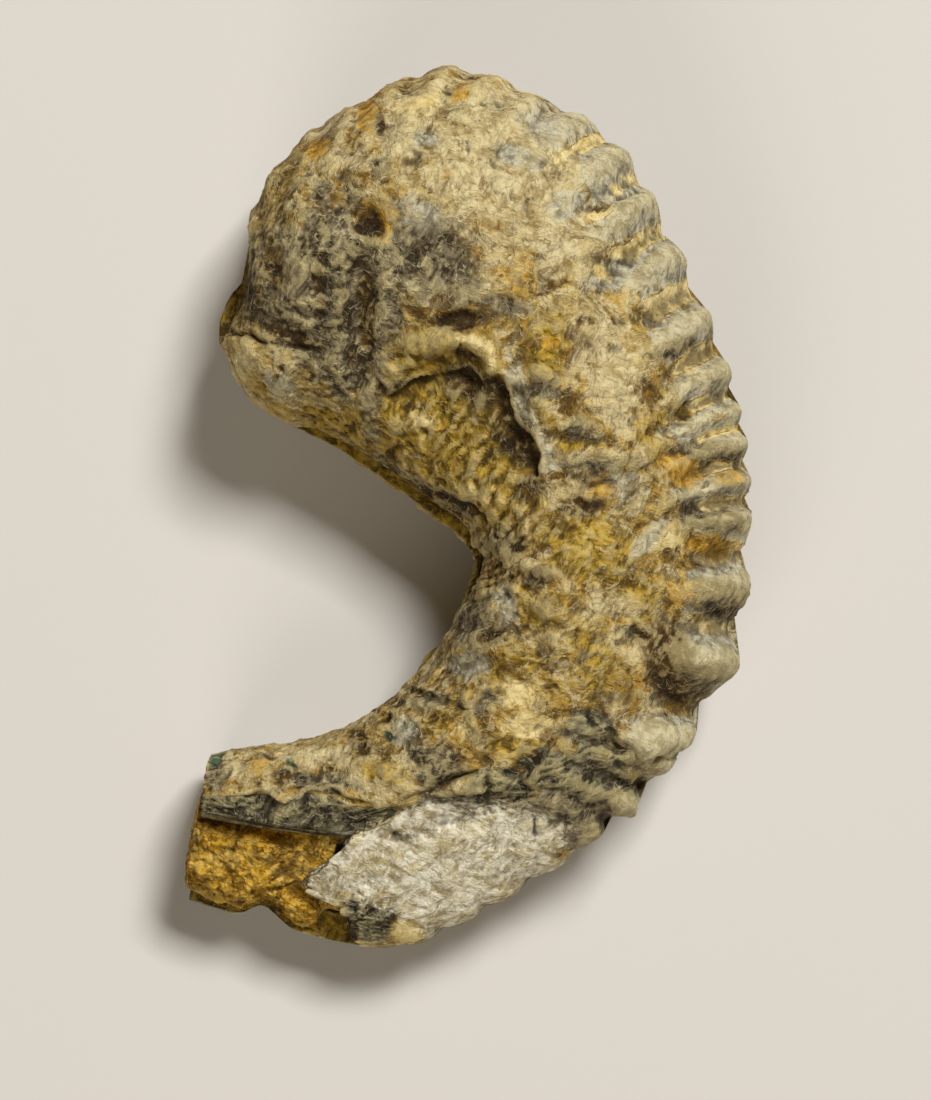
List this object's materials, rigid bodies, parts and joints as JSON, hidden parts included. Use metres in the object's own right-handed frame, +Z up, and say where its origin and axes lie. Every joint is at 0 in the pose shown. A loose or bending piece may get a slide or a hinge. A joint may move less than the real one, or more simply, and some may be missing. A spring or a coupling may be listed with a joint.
{
  "type": "fossil oyster",
  "caption": "Crescent fossil oyster with two ribbed valves shut on a sediment fill, broken open at its tail; lies flat on its lower valve.",
  "frame": {"origin": "middle of the bounding box's base, on the surface that the fossil lies on", "axes": "+Z up out of the surface, +Y from the broken tail towards the domed head, +X from the hollow side to the ribbed outer side"},
  "size_m": [0.0568, 0.0882, 0.0299],
  "materials": {
    "upper_shell": "matt chalky fossil shell, tan and blue-grey, with ochre in its grooves",
    "lower_shell": "matt fossil shell, grey-brown with ochre stains",
    "sediment": "rough grainy ochre sediment"
  },
  "bodies": {
    "root": {"upper_valve": "upper_shell", "lower_valve": "lower_shell", "sediment_fill": "sediment"}
  },
  "joints": []
}
